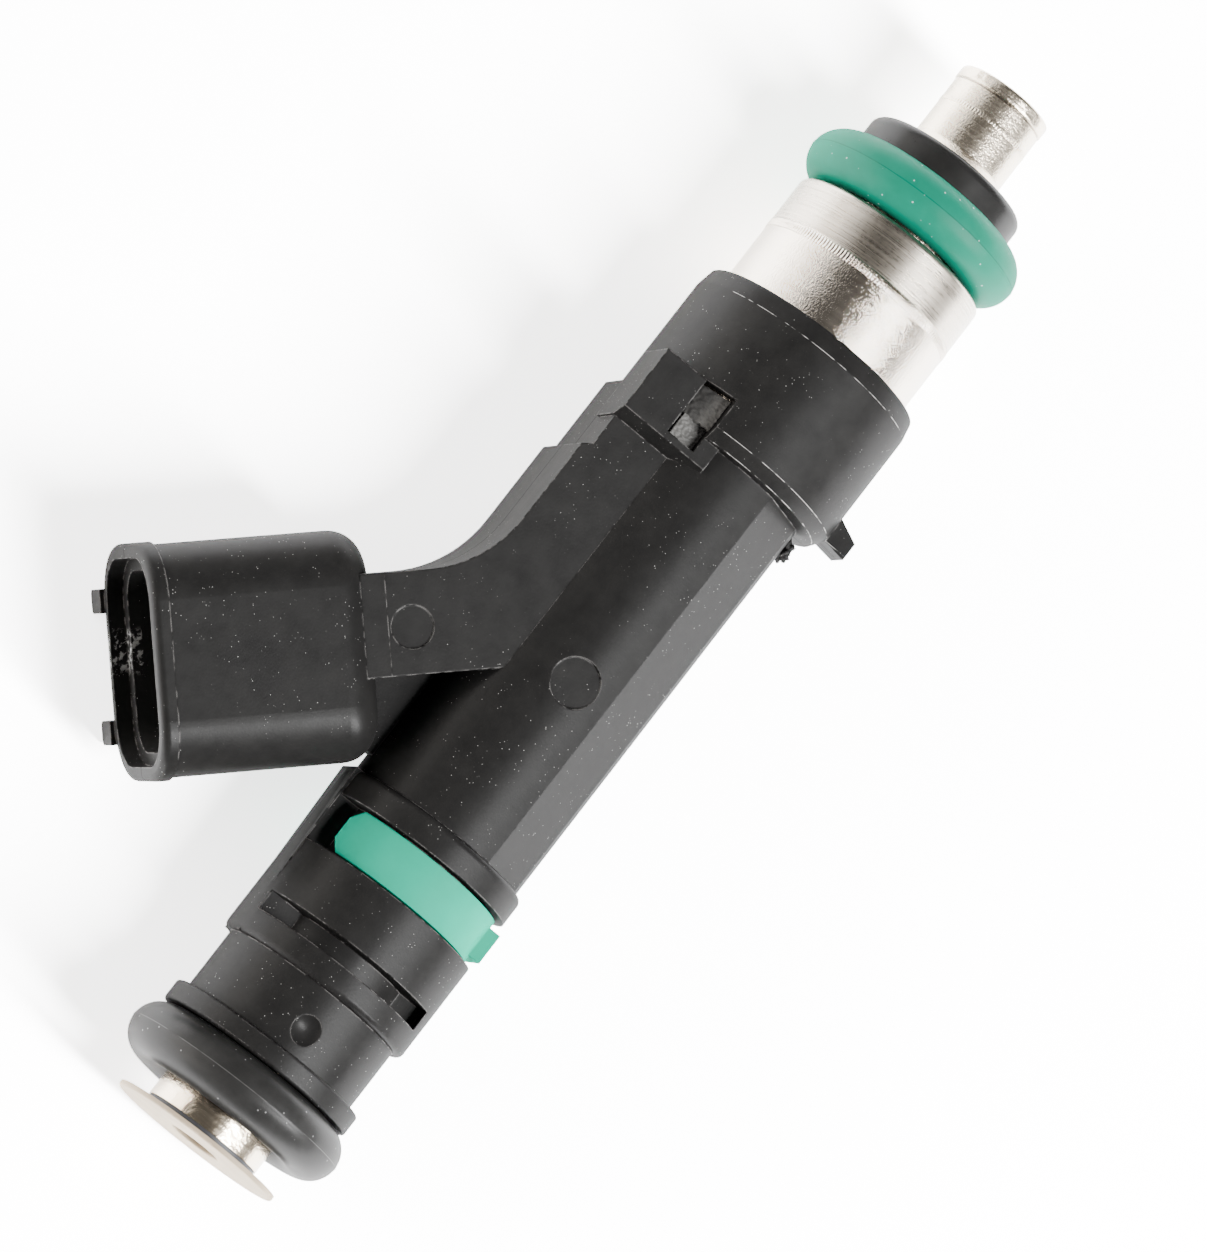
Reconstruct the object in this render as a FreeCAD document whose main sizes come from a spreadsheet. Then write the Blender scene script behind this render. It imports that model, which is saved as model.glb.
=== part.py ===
import FreeCAD, Part
import math
import os

import Sketcher

# A top-feed fuel injector lying on its side on the mould's parting plane. The origin is the centre
# of the spray tube's end face, +X leaves the tip, +Y is the connector's side and +Z is up.
# Distances along the injector are measured back from the tip, so a distance d lies at X = -d.

driving = {
    # axial lengths, in order from the tip
    "tip_length": 4.7,
    "flare_length": 0.8,
    "backup_plate_length": 1.85,
    "seal_side_gap": 0.03,
    "seal_groove_slack": 0.32,
    "valve_body_length": 3.05,
    "weld_length": 0.65,
    "shell_visible_length": 3.97,
    "collar_cone_length": 1.15,
    "collar_wall_length": 7.25,
    "collar_chamfer_length": 0.8,
    "barrel_length": 26.75,
    "shoulder_length": 1.75,
    "clip_groove_length": 3.25,
    "band_length": 3.6,
    "slot_length": 1.3,
    "foot_flange_length": 1.6,
    "foot_length": 4.1,
    "inlet_flange_length": 1.3,
    "inlet_groove_slack": 1.27,
    "filter_flange_length": 0.4,
    "cap_thickness": 0.3,
    # radii of the outside
    "tip_radius": 3.0,
    "seat_step": 0.8,
    "seal_section": 3.5,
    "flare_step": 0.7,
    "backup_width": 2.3,
    "shell_step": 2.62,
    "collar_thickness": 1.08,
    "collar_cone_drop": 0.22,
    "collar_chamfer_drop": 0.55,
    "barrel_thickness": 2.05,
    "flat_depth": 0.35,
    "band_step": 0.49,
    "clip_thickness": 0.95,
    "slot_core_depth": 1.55,
    "foot_drop": 0.05,
    "inlet_flange_step": 2.67,
    "cap_step": 1.68,
    "dimple_radius": 1.3,
    "dimple_from_flange": 1.6,
    "dimple_depth": 0.4,
    # the wing, neck and web that lead to the connector
    "connector_lean": 46.7,
    "connector_from_collar": 11.33,
    "arm_half_thickness": 4.6,
    "wing_step_rise": 0.55,
    "wing_step_from_collar": 4.1,
    "wing_step_length": 0.4,
    "neck_outer": 4.0,
    "neck_inner": 1.93,
    "neck_round": 8.0,
    "neck_pad_start": 13.33,
    "neck_pad_proud": 0.14,
    "web_half_thickness": 0.75,
    "spine_drop": 0.04,
    "spine_foot_drop": 0.39,
    "spine_half_width": 1.9,
    "groove_end_drop": 0.25,
    "groove_floor": 1.5,
    "slot_end_left": 5.85,
    "slot_end_right": 5.34,
    "slot_floor": 2.3,
    # the connector shell, measured out along its own axis
    "socket_back": 14.05,
    "socket_mouth": 27.7,
    "socket_width": 13.3,
    "socket_height": 10.3,
    "socket_corner": 3.2,
    "socket_back_round": 1.95,
    "socket_wall": 1.45,
    "socket_depth": 10.4,
    "mouth_slant": 4.5,
    "lip_wall": 0.7,
    "lip_depth": 1.0,
    "rim_length": 0.95,
    "rim_proud": 0.16,
    "rib_spread": 3.8,
    "rib_offset": -0.2,
    "rib_width": 1.4,
    "rib_length": 8.6,
    "rib_proud": 0.25,
    "ramp_width": 3.4,
    "ramp_reach": 6.7,
    "ramp_start": 21.0,
    "ramp_peak": 24.2,
    "ramp_end": 24.9,
    # block, lug and marks left by the mould
    "block_drop": 1.5,
    "block_near": 1.75,
    "block_overhang": 0.2,
    "block_from_cone": 5.38,
    "block_length": 4.15,
    "block_slope": 0.55,
    "pocket_near": 2.87,
    "pocket_far": 4.8,
    "pocket_length": 3.75,
    "pocket_depth": 1.75,
    "pocket_step": 1.15,
    "lug_height": 1.4,
    "lug_half_thickness": 1.3,
    "lug_length": 2.6,
    "lug_slope": 0.85,
    "ejector_radius": 1.5,
    "ejector_from_collar": 15.63,
    "ejector_depth": 0.23,
    "neck_mark_radius": 1.25,
    "neck_mark_along": 11.9,
    "neck_mark_across": 0.8,
    "neck_mark_depth": 0.1,
    # colour clip
    "clip_width": 2.9,
    "clip_wrap": 298.0,
    "clip_corner": 0.75,
    "clip_nub_width": 2.0,
    "clip_nub_half_height": 1.9,
    # magnetic circuit
    "sleeve_drop": 0.45,
    "sleeve_thickness": 0.35,
    "shell_thickness": 0.62,
    "sleeve_from_valve_body": 1.8,
    "sleeve_short_of_coil": 0.8,
    "bobbin_from_weld": 0.95,
    "bobbin_wall": 0.5,
    "bobbin_flange": 0.8,
    "shell_past_collar_wall": 0.13,
    "winding_gap": 0.3,
    "washer_thickness": 1.1,
    "boss_gap": 0.3,
    "boss_half_width": 1.8,
    "boss_proud": 1.8,
    "shoulder_from_washer": 1.2,
    "tube_bore": 1.9,
    "inlet_tube_wall": 0.6,
    "inlet_bore_length": 14.6,
    "pole_from_sleeve_start": 9.2,
    # valve group
    "armature_length": 6.05,
    "armature_gap": 0.05,
    "lift": 0.1,
    "running_gap": 0.05,
    "spring_pocket_drop": 0.15,
    "spring_pocket_depth": 1.85,
    "armature_waist": 0.9,
    "stem_radius": 1.15,
    "stem_bore": 0.7,
    "stem_insertion": 2.6,
    "stem_port_radius": 0.4,
    "stem_port_from_ball": 3.2,
    "ball_radius": 1.6,
    "seat_gap": 0.01,
    "guide_gap": 0.02,
    "tube_wall": 0.5,
    "plate_recess": 0.55,
    "plate_thickness": 0.25,
    "seat_length": 2.1,
    "seat_bore": 0.45,
    "seat_land": 0.65,
    "guide_length": 2.1,
    "flow_slot_radius": 0.45,
    "spray_hole_radius": 0.12,
    "spray_circle": 0.3,
    # spring and what sets it
    "spring_gap": 0.11,
    "wire_radius": 0.22,
    "spring_pitch": 1.1,
    "spring_length": 8.8,
    "adjuster_length": 9.0,
    "adjuster_bore": 1.2,
    # filter
    "basket_length": 12.0,
    "basket_ring_length": 2.1,
    "basket_ring_wall": 0.6,
    "basket_rib_height": 0.45,
    "basket_rib_width": 0.7,
    "basket_foot_length": 1.0,
    "basket_flange_step": 0.5,
    "mesh_drop": 0.8,
    "mesh_thickness": 0.15,
    "cap_bore": 1.6,
    "cap_neck_length": 2.0,
    # terminals
    "strip_thickness": 0.64,
    "blade_width": 1.5,
    "blade_spread": 2.25,
    "blade_length": 5.6,
    "strip_under": 0.15,
    "strip_over": 0.25,
    "strip_outer_rise": 0.85,
    "strip_cross": 0.9,
    # small radii of edges
    "backup_rounding": 0.6,
    "tip_rounding": 0.2,
    "valve_body_rounding": 0.35,
    "cap_rounding": 0.12,
    "shoulder_rounding": 0.4,
    "flange_rounding": 0.15,
    "rim_rounding": 0.45,
    "rib_rounding": 0.4,
}


class Size:
    """A number and the sheet formula that gives it, carried together through sums and products."""

    def __init__(self, value, formula):
        self.value = value
        self.formula = formula

    def join(self, other, sign, value):
        text = other.formula if isinstance(other, Size) else repr(other)
        return Size(value, f"({self.formula} {sign} {text})")

    def __add__(self, other):
        return self.join(other, "+", self.value + number(other))

    def __sub__(self, other):
        return self.join(other, "-", self.value - number(other))

    def __mul__(self, other):
        return self.join(other, "*", self.value * number(other))

    def __truediv__(self, other):
        return self.join(other, "/", self.value / number(other))

    def __neg__(self):
        return Size(-self.value, f"(0 - {self.formula})")

    def sin(self):
        return Size(math.sin(math.radians(self.value)), f"sin({self.formula} * 1 deg)")

    def cos(self):
        return Size(math.cos(math.radians(self.value)), f"cos({self.formula} * 1 deg)")


def number(size):
    return size.value if isinstance(size, Size) else size


class Sizes:
    """The driving sizes, read as mm.name."""

    def __init__(self, sheet, numbers):
        for row, (name, value) in enumerate(numbers.items(), start=1):
            sheet.set(f"A{row}", name)
            sheet.set(f"B{row}", str(value))
            sheet.setAlias(f"B{row}", name)
            setattr(self, name, Size(value, f"{sheet.Name}.{name}"))


doc = FreeCAD.newDocument("fuel_injector")
sheet = doc.addObject("Spreadsheet::Sheet", "Sizes")
mm = Sizes(sheet, driving)
doc.recompute()

zero = Size(0, "0")
xAxis = FreeCAD.Vector(1, 0, 0)
yAxis = FreeCAD.Vector(0, 1, 0)
zAxis = FreeCAD.Vector(0, 0, 1)

# Radii, each standing on another one
mm.tube_inner = mm.tip_radius - mm.tube_wall
mm.seal_seat_radius = mm.tip_radius + mm.seat_step
mm.flare_radius = mm.tip_radius + mm.flare_step
mm.backup_radius = mm.tip_radius + mm.backup_width
mm.shell_radius = mm.seal_seat_radius + mm.shell_step
mm.shell_inner = mm.shell_radius - mm.shell_thickness
mm.collar_radius = mm.shell_radius + mm.collar_thickness
mm.collar_top_radius = mm.collar_radius - mm.collar_cone_drop
mm.collar_foot_radius = mm.collar_radius - mm.collar_chamfer_drop
mm.barrel_radius = mm.seal_seat_radius + mm.barrel_thickness
mm.flat_distance = mm.barrel_radius - mm.flat_depth
mm.band_radius = mm.barrel_radius + mm.band_step
mm.clip_radius = mm.barrel_radius
mm.clip_seat_radius = mm.clip_radius - mm.clip_thickness
mm.slot_core_radius = mm.barrel_radius - mm.slot_core_depth
mm.foot_radius = mm.barrel_radius - mm.foot_drop
mm.inlet_flange_radius = mm.seal_seat_radius + mm.inlet_flange_step
mm.cap_radius = mm.seal_seat_radius + mm.cap_step
mm.sleeve_outer = mm.seal_seat_radius - mm.sleeve_drop
mm.sleeve_inner = mm.sleeve_outer - mm.sleeve_thickness
mm.winding_radius = mm.shell_inner - mm.winding_gap
mm.inlet_bore = mm.seal_seat_radius - mm.inlet_tube_wall
mm.spring_pocket_radius = mm.tube_bore - mm.spring_pocket_drop
mm.spring_mean_radius = mm.spring_pocket_radius - mm.wire_radius - mm.spring_gap
mm.mesh_outer = mm.inlet_bore - mm.mesh_drop
mm.basket_rib_outer = mm.mesh_outer + mm.basket_rib_height
mm.basket_flange_radius = mm.inlet_bore + mm.basket_flange_step
mm.basket_ring_bore = mm.inlet_bore - mm.basket_ring_wall

# How far things reach from the axis
mm.wing_upper_reach = mm.collar_radius
mm.wing_reach = mm.wing_upper_reach + mm.wing_step_rise
mm.spine_reach = mm.band_radius - mm.spine_drop
mm.spine_foot_reach = mm.band_radius - mm.spine_foot_drop
mm.groove_end = mm.band_radius - mm.groove_end_drop
mm.rib_reach = mm.collar_radius
mm.block_top = mm.collar_radius - mm.block_drop
mm.block_far = mm.collar_radius + mm.block_overhang
mm.lug_reach = mm.collar_radius + mm.lug_height
mm.ejector_floor = mm.barrel_radius - mm.ejector_depth
mm.boss_far = mm.winding_radius
mm.boss_near = mm.seal_seat_radius + mm.boss_gap
mm.strip_width = mm.boss_far - mm.boss_near - mm.strip_under - mm.strip_over
mm.strip_inner = mm.boss_near + mm.strip_under + mm.strip_width / 2
mm.strip_outer = mm.boss_far + mm.strip_outer_rise

# Stations along the injector, as distances back from the tip
plateStart = mm.tip_length + mm.flare_length
plateEnd = plateStart + mm.backup_plate_length
sealCentre = plateEnd + mm.seal_side_gap + mm.seal_section / 2
valveBodyStart = plateEnd + mm.seal_side_gap + mm.seal_section + mm.seal_groove_slack
valveBodyEnd = valveBodyStart + mm.valve_body_length
collarStart = valveBodyEnd + mm.weld_length + mm.shell_visible_length
collarWall = collarStart + mm.collar_cone_length
collarChamfer = collarWall + mm.collar_wall_length
collarEnd = collarChamfer + mm.collar_chamfer_length
shoulderStart = collarEnd + mm.barrel_length
clipStart = shoulderStart + mm.shoulder_length
bandStart = clipStart + mm.clip_groove_length
slotStart = bandStart + mm.band_length
slotEnd = slotStart + mm.slot_length
footStart = slotEnd + mm.foot_flange_length
inletFlangeStart = footStart + mm.foot_length
inletFlangeEnd = inletFlangeStart + mm.inlet_flange_length
inletSealCentre = inletFlangeEnd + mm.seal_side_gap + mm.seal_section / 2
tubeEnd = inletFlangeEnd + mm.seal_side_gap + mm.seal_section + mm.inlet_groove_slack
capStart = tubeEnd + mm.filter_flange_length
capEnd = capStart + mm.cap_thickness

# Stations inside: the coil fills the steel shell, which ends just past the collar's wall
mm.sleeve_start = valveBodyStart + mm.sleeve_from_valve_body
mm.bobbin_start = valveBodyEnd + mm.bobbin_from_weld
washerEnd = collarChamfer + mm.shell_past_collar_wall
bobbinEnd = washerEnd - mm.washer_thickness
mm.sleeve_end = bobbinEnd - mm.sleeve_short_of_coil
mm.tube_shoulder = washerEnd + mm.shoulder_from_washer
mm.pole_from_tip = mm.sleeve_start + mm.pole_from_sleeve_start
mm.connector_from_tip = collarEnd + mm.connector_from_collar
mm.ejector_from_tip = collarEnd + mm.ejector_from_collar
mm.block_start = collarWall + mm.block_from_cone


def bind(thing, **formulas):
    for name, size in formulas.items():
        thing.setExpression(name.replace("__", "."), size.formula)


def shift(thing, x=zero, y=zero, z=zero):
    bind(thing, Placement__Base__x=x, Placement__Base__y=y, Placement__Base__z=z)
    return thing


def originPlane(body, role):
    return next(item for item in body.Origin.OriginFeatures if item.Role == role)


def newBody(name):
    body = doc.addObject("PartDesign::Body", name)
    body.Label = name
    return body


def newSketch(body, name, role, away=zero, slant=None):
    """A sketch on one of the body's own origin planes, lifted off it and perhaps leaned upwards."""
    sketch = body.newObject("Sketcher::SketchObject", name)
    sketch.AttachmentSupport = [(originPlane(body, role), "")]
    sketch.MapMode = "FlatFace"
    if slant:
        sketch.AttachmentOffset = FreeCAD.Placement(FreeCAD.Vector(), FreeCAD.Rotation(-xAxis, slant.value))
        bind(sketch, AttachmentOffset__Rotation__Angle=slant)
    bind(sketch, AttachmentOffset__Base__z=away)
    return sketch


def pinPoint(sketch, line, end, x, y):
    """Dimension one end of a line from the sketch's origin, whichever side of it the end lies."""
    for kind, size, axis in (("DistanceX", x, -2), ("DistanceY", y, -1)):
        if size.value == 0:
            sketch.addConstraint(Sketcher.Constraint("PointOnObject", line, end, axis))
        elif size.value > 0:
            index = sketch.addConstraint(Sketcher.Constraint(kind, -1, 1, line, end, size.value))
            sketch.setExpression(f"Constraints[{index}]", size.formula)
        else:
            index = sketch.addConstraint(Sketcher.Constraint(kind, line, end, -1, 1, -size.value))
            sketch.setExpression(f"Constraints[{index}]", (-size).formula)


def polygon(body, name, role, corners, away=zero, slant=None):
    """A closed sketch of straight lines through the corners, every corner dimensioned."""
    sketch = newSketch(body, name, role, away, slant)
    points = [FreeCAD.Vector(x.value, y.value, 0) for x, y in corners]
    sketch.addGeometry([Part.LineSegment(*ends) for ends in zip(points, points[1:] + points[:1])])
    count = len(points)
    for line in range(count):
        sketch.addConstraint(Sketcher.Constraint("Coincident", line, 2, (line + 1) % count, 1))
    for line, (x, y) in enumerate(corners):
        pinPoint(sketch, line, 1, x, y)
    return sketch


def roundedRectangle(body, name, role, width, height, corner, away=zero, slant=None):
    """A rectangle centred on the origin with four equal arcs for corners."""
    sketch = newSketch(body, name, role, away, slant)
    halfWidth, halfHeight, radius = width.value / 2, height.value / 2, corner.value
    inX, inY = halfWidth - radius, halfHeight - radius
    sides = [((-inX, -halfHeight), (inX, -halfHeight)), ((halfWidth, -inY), (halfWidth, inY)),
             ((inX, halfHeight), (-inX, halfHeight)), ((-halfWidth, inY), (-halfWidth, -inY))]
    centres = [(inX, -inY), (inX, inY), (-inX, inY), (-inX, -inY)]
    for start, finish in sides:
        sketch.addGeometry(Part.LineSegment(FreeCAD.Vector(*start, 0), FreeCAD.Vector(*finish, 0)))
    for turn, centre in enumerate(centres):
        circle = Part.Circle(FreeCAD.Vector(*centre, 0), zAxis, radius)
        begin = math.radians(90 * turn - 90)
        sketch.addGeometry(Part.ArcOfCircle(circle, begin, begin + math.radians(90)))
    for turn in range(4):
        arc = 4 + turn
        sketch.addConstraint(Sketcher.Constraint("Tangent", turn, 2, arc, 1))
        sketch.addConstraint(Sketcher.Constraint("Tangent", arc, 2, (turn + 1) % 4, 1))
    sketch.addConstraint(Sketcher.Constraint("Horizontal", 0))
    sketch.addConstraint(Sketcher.Constraint("Vertical", 1))
    for arc in (5, 6, 7):
        sketch.addConstraint(Sketcher.Constraint("Equal", 4, arc))
    sketch.addConstraint(Sketcher.Constraint("Symmetric", 4, 3, 6, 3, -1, 1))
    index = sketch.addConstraint(Sketcher.Constraint("Radius", 4, radius))
    bind(sketch, **{f"Constraints[{index}]": corner})
    index = sketch.addConstraint(Sketcher.Constraint("DistanceX", 3, 1, 1, 1, width.value))
    bind(sketch, **{f"Constraints[{index}]": width})
    index = sketch.addConstraint(Sketcher.Constraint("DistanceY", 0, 1, 2, 1, height.value))
    bind(sketch, **{f"Constraints[{index}]": height})
    return sketch


def feature(body, kind, name, sketch=None):
    item = body.newObject(f"PartDesign::{kind}", name)
    if sketch:
        item.Profile = sketch
    body.Tip = item
    return item


def pad(body, name, sketch, length, symmetric=False):
    item = feature(body, "Pad", name, sketch)
    item.SideType = "Symmetric" if symmetric else "One side"
    bind(item, Length=length)
    return item


def revolve(name, corners):
    """A body of revolution about X from (distance back from the tip, radius) corners."""
    body = newBody(name)
    sketch = polygon(body, f"{name}_profile", "XY_Plane", [(-back, radius) for back, radius in corners])
    turn = feature(body, "Revolution", f"{name}_turn", sketch)
    turn.ReferenceAxis = (sketch, ["H_Axis"])
    turn.Angle = 360
    return body


def ring(name, start, end, inner, outer):
    return revolve(name, [(start, inner), (start, outer), (end, outer), (end, inner)])


def circleAt(back, radius):
    """A test for the round edge at one station and radius."""

    def test(edge):
        curve = edge.Curve
        if not isinstance(curve, Part.Circle):
            return False
        return abs(curve.Center.x + back.value) < 1e-4 and abs(curve.Radius - radius.value) < 1e-4

    return test


def dress(body, kind, name, size, tests):
    """Round or bevel the edges of the body's last feature that any of the tests picks."""
    doc.recompute()
    base = body.Tip
    edges = base.Shape.Edges
    picked = [f"Edge{place}" for place, edge in enumerate(edges, start=1) if any(t(edge) for t in tests)]
    if not picked:
        raise RuntimeError(f"{name}: no edge to work on")
    item = feature(body, kind, name)
    item.Base = (base, picked)
    bind(item, **{"Radius" if kind == "Fillet" else "Size": size})
    return item


def box(name, length, width, height, x=zero, y=zero, z=zero):
    item = doc.addObject("Part::Box", name)
    bind(item, Length=length, Width=width, Height=height)
    return shift(item, x, y, z)


def rod(name, radius, length, start, direction=xAxis, y=zero, z=zero):
    """A cylinder that begins at X = start and runs along the direction."""
    item = doc.addObject("Part::Cylinder", name)
    bind(item, Radius=radius, Height=length)
    item.Placement = FreeCAD.Placement(FreeCAD.Vector(), FreeCAD.Rotation(zAxis, direction))
    return shift(item, start, y, z)


def fuse(name, *shapes):
    item = doc.addObject("Part::MultiFuse", name)
    item.Shapes = list(shapes)
    item.Refine = True
    return item


def cut(name, base, *tools):
    item = doc.addObject("Part::Cut", name)
    item.Base = base
    item.Tool = tools[0] if len(tools) == 1 else fuse(f"{name}_tools", *tools)
    item.Refine = True
    return item


def pieceOf(item, label):
    item.Label = label
    pieces.append(item)
    return item


pieces = []


# Seals and the ring that keeps the nozzle seal on
def oRing(name, centre):
    item = doc.addObject("Part::Torus", name)
    bind(item, Radius1=mm.seal_seat_radius + mm.seal_section / 2, Radius2=mm.seal_section / 2)
    item.Placement = FreeCAD.Placement(FreeCAD.Vector(), FreeCAD.Rotation(yAxis, 90))
    shift(item, -centre)
    return pieceOf(item, name)


oRing("nozzle_o_ring", sealCentre)
oRing("inlet_o_ring", inletSealCentre)

backupRing = ring("backup_ring", plateStart, plateEnd, mm.tip_radius, mm.backup_radius)
dress(backupRing, "Fillet", "backup_round", mm.backup_rounding, [circleAt(plateStart, mm.backup_radius)])
pieceOf(backupRing, "backup_ring")

# Nozzle tube: the spray end, flared over the ring and stepped up to the seal's seat
nozzleTube = revolve("nozzle_tube", [
    (zero, mm.tube_inner), (zero, mm.tip_radius), (mm.tip_length, mm.tip_radius),
    (plateStart, mm.flare_radius), (plateStart, mm.tip_radius), (plateEnd, mm.tip_radius),
    (plateEnd, mm.seal_seat_radius), (mm.sleeve_start, mm.seal_seat_radius),
    (mm.sleeve_start, mm.tube_inner)])
dress(nozzleTube, "Fillet", "tip_round", mm.tip_rounding, [circleAt(zero, mm.tip_radius)])
pieceOf(nozzleTube, "nozzle_tube")

valveBody = revolve("valve_body", [
    (valveBodyStart, mm.seal_seat_radius), (valveBodyStart, mm.shell_radius),
    (valveBodyEnd, mm.shell_radius), (valveBodyEnd, mm.shell_inner),
    (mm.bobbin_start, mm.shell_inner), (mm.bobbin_start, mm.sleeve_outer),
    (mm.sleeve_start, mm.sleeve_outer), (mm.sleeve_start, mm.seal_seat_radius)])
dress(valveBody, "Fillet", "valve_body_round", mm.valve_body_rounding,
      [circleAt(valveBodyStart, mm.shell_radius)])
pieceOf(valveBody, "valve_body")

# Magnetic circuit around the coil
pieceOf(ring("steel_shell", valveBodyEnd, washerEnd, mm.shell_inner, mm.shell_radius), "steel_shell")
pieceOf(ring("nonmagnetic_sleeve", mm.sleeve_start, mm.sleeve_end, mm.sleeve_inner, mm.sleeve_outer),
        "nonmagnetic_sleeve")

bossLength = mm.washer_thickness + mm.boss_proud
bossHeight = mm.boss_far - mm.boss_near


def bossBlock(name):
    return box(name, bossLength, bossHeight, mm.boss_half_width * 2,
               -(bobbinEnd + bossLength), mm.boss_near, -mm.boss_half_width)


washerRing = ring("washer_ring", bobbinEnd, washerEnd, mm.sleeve_outer, mm.shell_inner)
washerNotch = box("washer_notch", mm.washer_thickness, mm.shell_radius - mm.boss_near,
                  mm.boss_half_width * 2, -washerEnd, mm.boss_near, -mm.boss_half_width)
pieceOf(cut("flux_washer", washerRing, washerNotch), "flux_washer")

spoolWall = mm.sleeve_outer + mm.bobbin_wall
windingStart = mm.bobbin_start + mm.bobbin_flange
windingEnd = bobbinEnd - mm.bobbin_flange
spool = revolve("spool", [
    (mm.bobbin_start, mm.sleeve_outer), (mm.bobbin_start, mm.winding_radius),
    (windingStart, mm.winding_radius), (windingStart, spoolWall), (windingEnd, spoolWall),
    (windingEnd, mm.winding_radius), (bobbinEnd, mm.winding_radius), (bobbinEnd, mm.sleeve_outer)])
pieceOf(ring("coil_winding", windingStart, windingEnd, spoolWall, mm.winding_radius), "coil_winding")

# Terminals: flat strips in the parting plane, bent once from the barrel into the connector
lean = mm.connector_lean
socketFloor = mm.socket_mouth - mm.socket_depth
halfThick = mm.strip_thickness / 2


def placeInConnector(item, along, across, up=zero):
    """The item's own x then runs out of the mouth, and its own y towards the inlet."""
    item.Placement = FreeCAD.Placement(FreeCAD.Vector(), FreeCAD.Rotation(zAxis, 180 - lean.value))
    bind(item, Placement__Rotation__Angle=-lean + 180)
    return shift(item, -mm.connector_from_tip - along * lean.cos() - across * lean.sin(),
                 along * lean.sin() - across * lean.cos(), up)


def terminal(name, height, across, rootLength):
    """height is the strip's Y along the barrel, across its place in the connector."""
    bend = (height + across * lean.cos()) / lean.sin()
    bendBack = mm.connector_from_tip + bend * lean.cos() + across * lean.sin()
    rootBack = washerEnd + rootLength
    halfStrip = mm.strip_width / 2
    run = box(f"{name}_run", bendBack - rootBack, mm.strip_width, mm.strip_thickness,
              -bendBack, height - halfStrip, -halfThick)
    elbow = rod(f"{name}_elbow", halfStrip, mm.strip_thickness, -bendBack, zAxis, height, -halfThick)
    rise = doc.addObject("Part::Box", f"{name}_rise")
    bind(rise, Length=socketFloor - bend, Width=mm.strip_width, Height=mm.strip_thickness)
    placeInConnector(rise, bend, across - halfStrip, -halfThick)
    blade = doc.addObject("Part::Box", f"{name}_blade")
    bind(blade, Length=mm.blade_length, Width=mm.blade_width, Height=mm.strip_thickness)
    placeInConnector(blade, socketFloor, across - mm.blade_width / 2, -halfThick)
    return [run, elbow, rise, blade]


innerTerminal = fuse("terminal_a", *terminal("inner", mm.strip_inner, mm.blade_spread, zero))
outerParts = terminal("outer", mm.strip_outer, -mm.blade_spread, mm.strip_cross / 2)
crossLeg = box("outer_cross", mm.strip_cross, mm.strip_outer + mm.strip_width / 2 - mm.boss_far,
               mm.strip_thickness, -(washerEnd + mm.strip_cross), mm.boss_far, -halfThick)
outerTerminal = fuse("terminal_b", crossLeg, *outerParts)
pieceOf(innerTerminal, "terminal_a")
pieceOf(outerTerminal, "terminal_b")
pieceOf(cut("coil_bobbin", fuse("spool_and_boss", spool, bossBlock("terminal_boss")), innerTerminal),
        "coil_bobbin")

# Inlet tube, whose far end inside the coil is the magnet's pole
boreStart = tubeEnd - mm.inlet_bore_length
inletTube = revolve("inlet_tube", [
    (mm.pole_from_tip, mm.tube_bore), (mm.pole_from_tip, mm.sleeve_inner),
    (mm.sleeve_end, mm.sleeve_inner), (mm.sleeve_end, mm.sleeve_outer),
    (mm.tube_shoulder, mm.sleeve_outer), (mm.tube_shoulder, mm.seal_seat_radius),
    (tubeEnd, mm.seal_seat_radius), (tubeEnd, mm.inlet_bore),
    (boreStart, mm.inlet_bore), (boreStart, mm.tube_bore)])
pieceOf(inletTube, "inlet_tube")

# Valve group. The ball rests in a 45 degree cone.
plateBack = mm.plate_recess + mm.plate_thickness
seatEnd = plateBack + mm.seat_length
coneStart = plateBack + mm.seat_land
coneEndRadius = mm.seat_bore + seatEnd - coneStart
coneApex = coneStart - mm.seat_bore
ballCentre = coneApex + (mm.ball_radius + mm.seat_gap) * math.sqrt(2)

pieceOf(revolve("valve_seat", [
    (plateBack, mm.seat_bore), (plateBack, mm.tube_inner), (seatEnd, mm.tube_inner),
    (seatEnd, coneEndRadius), (coneStart, mm.seat_bore)]), "valve_seat")

guideRing = ring("guide_ring", seatEnd, seatEnd + mm.guide_length, mm.ball_radius + mm.guide_gap,
                 mm.tube_inner)
flowSlots = []
for turn in range(5):
    angle = math.radians(72 * turn)
    slot = rod(f"flow_slot_{turn}", mm.flow_slot_radius, mm.guide_length,
               -seatEnd - mm.guide_length, xAxis,
               mm.ball_radius * math.cos(angle), mm.ball_radius * math.sin(angle))
    flowSlots.append(slot)
pieceOf(cut("ball_guide", guideRing, *flowSlots), "ball_guide")

plateDisc = rod("plate_disc", mm.tube_inner, mm.plate_thickness, -plateBack)
sprayHoles = []
for turn in range(4):
    angle = math.radians(90 * turn + 45)
    sprayHoles.append(rod(f"spray_hole_{turn}", mm.spray_hole_radius, mm.plate_thickness, -plateBack, xAxis,
                          mm.spray_circle * math.cos(angle), mm.spray_circle * math.sin(angle)))
pieceOf(cut("orifice_plate", plateDisc, *sprayHoles), "orifice_plate")

ball = doc.addObject("Part::Sphere", "valve_ball")
bind(ball, Radius=mm.ball_radius)
pieceOf(shift(ball, -ballCentre), "valve_ball")

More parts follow.
